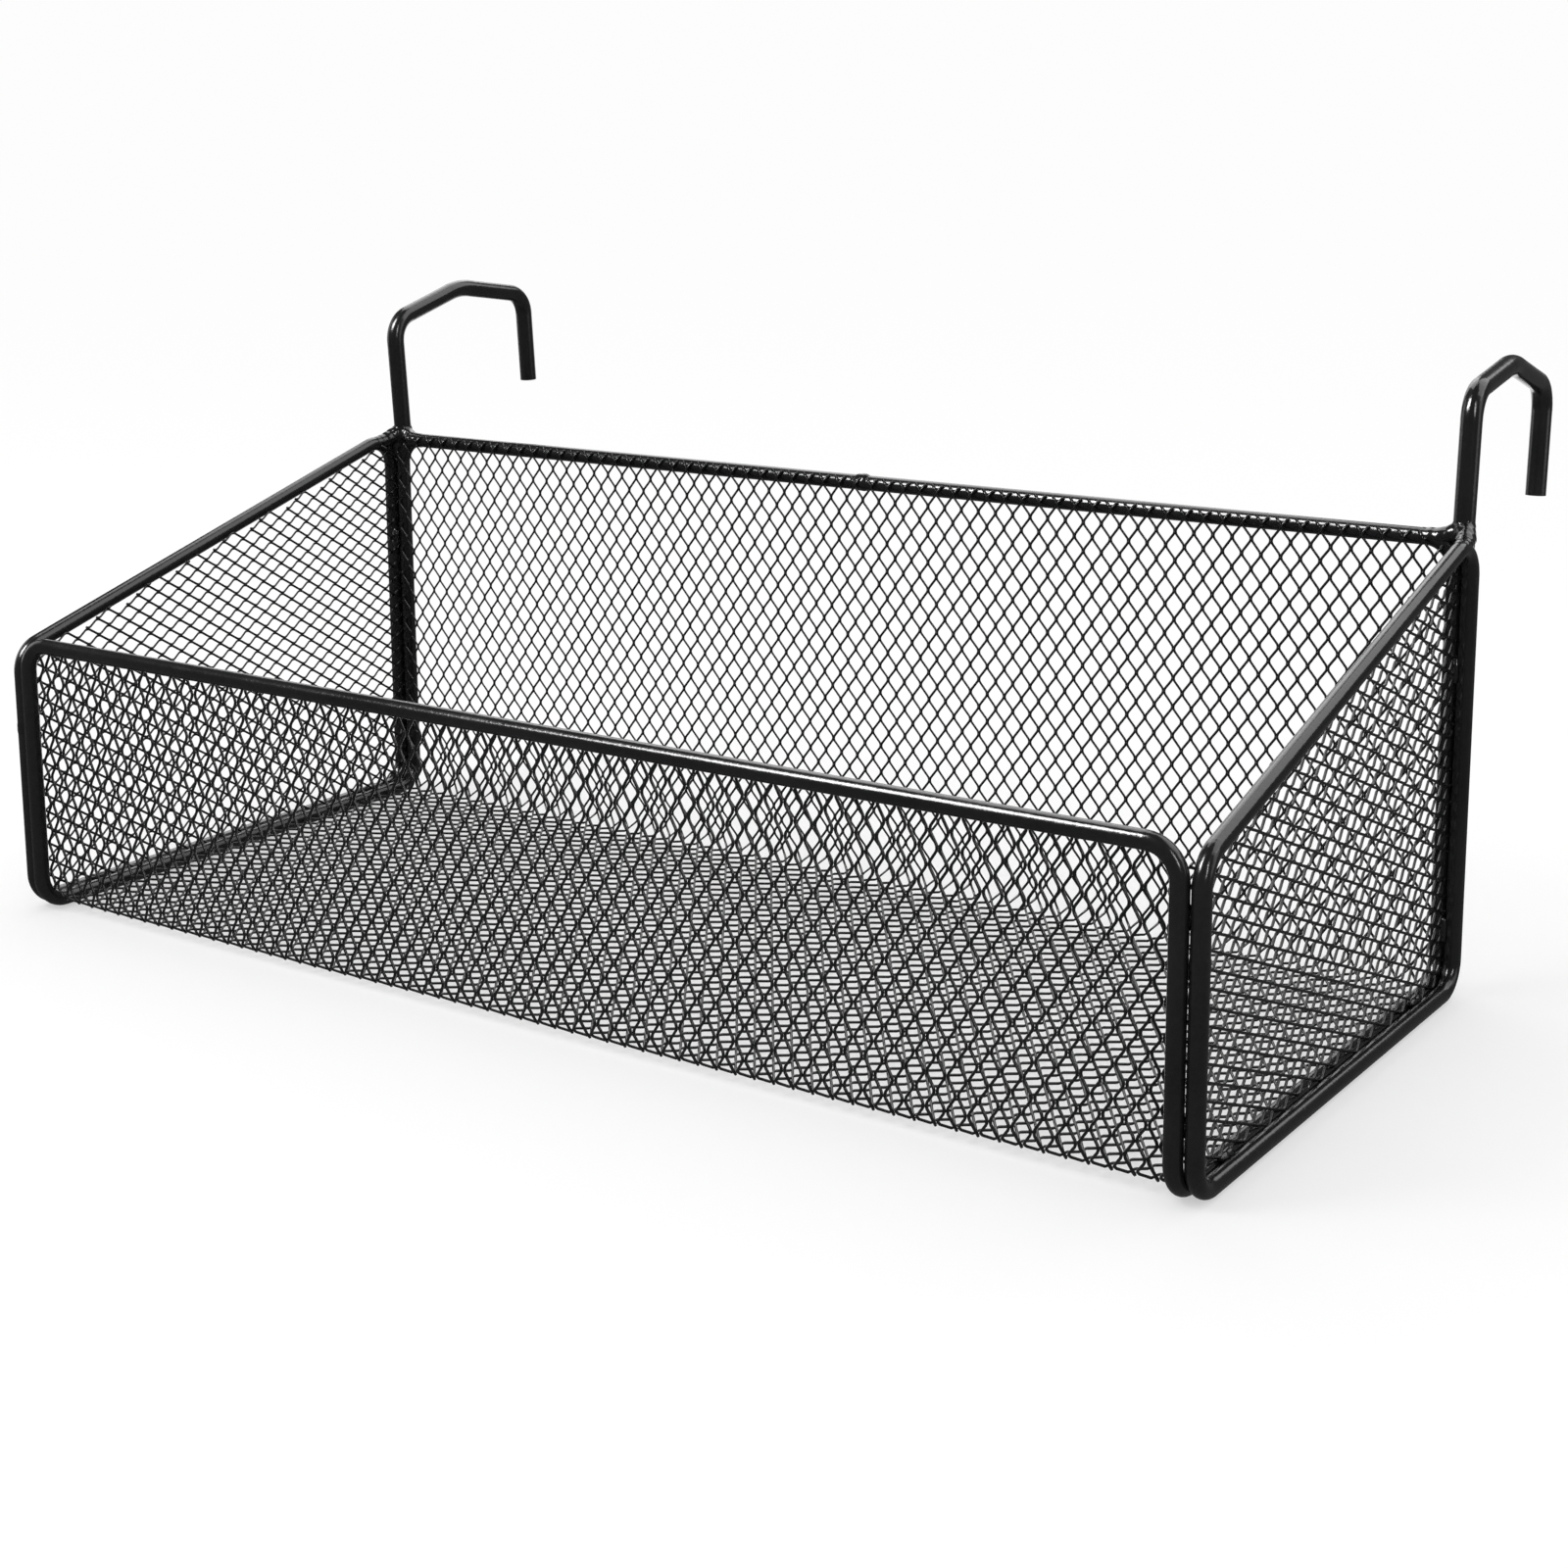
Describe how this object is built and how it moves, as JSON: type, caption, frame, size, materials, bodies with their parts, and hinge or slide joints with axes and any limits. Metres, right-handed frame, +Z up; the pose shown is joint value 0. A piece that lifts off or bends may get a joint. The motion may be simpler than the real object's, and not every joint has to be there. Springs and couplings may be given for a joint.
{
  "type": "hanging file rack",
  "caption": "Open-top expanded-metal mesh basket in a welded round-wire frame, with two bent-wire hooks that hang it over a partition.",
  "frame": {"origin": "middle of the rack's footprint, hooks included, at the underside of the bottom wires", "axes": "+X to the right along the width, +Y from the front panel towards the hooks at the back, +Z up"},
  "size_m": [0.3352, 0.2087, 0.1533],
  "materials": {
    "frame_wire": "gloss",
    "hook_wire": "gloss",
    "mesh": "gloss",
    "weld": "gloss"
  },
  "bodies": {
    "root": {"cage_frame": "frame_wire", "cage_butt_weld": "weld", "side_frame_left": "frame_wire", "side_frame_right": "frame_wire", "side_butt_weld_left": "weld", "side_butt_weld_right": "weld", "body_mesh": "mesh", "side_mesh_left": "mesh", "side_mesh_right": "mesh", "hook_left": "hook_wire", "hook_right": "hook_wire", "hook_weld_left": "weld", "hook_weld_right": "weld", "tack_welds_left": "weld", "tack_welds_right": "weld"}
  },
  "joints": []
}
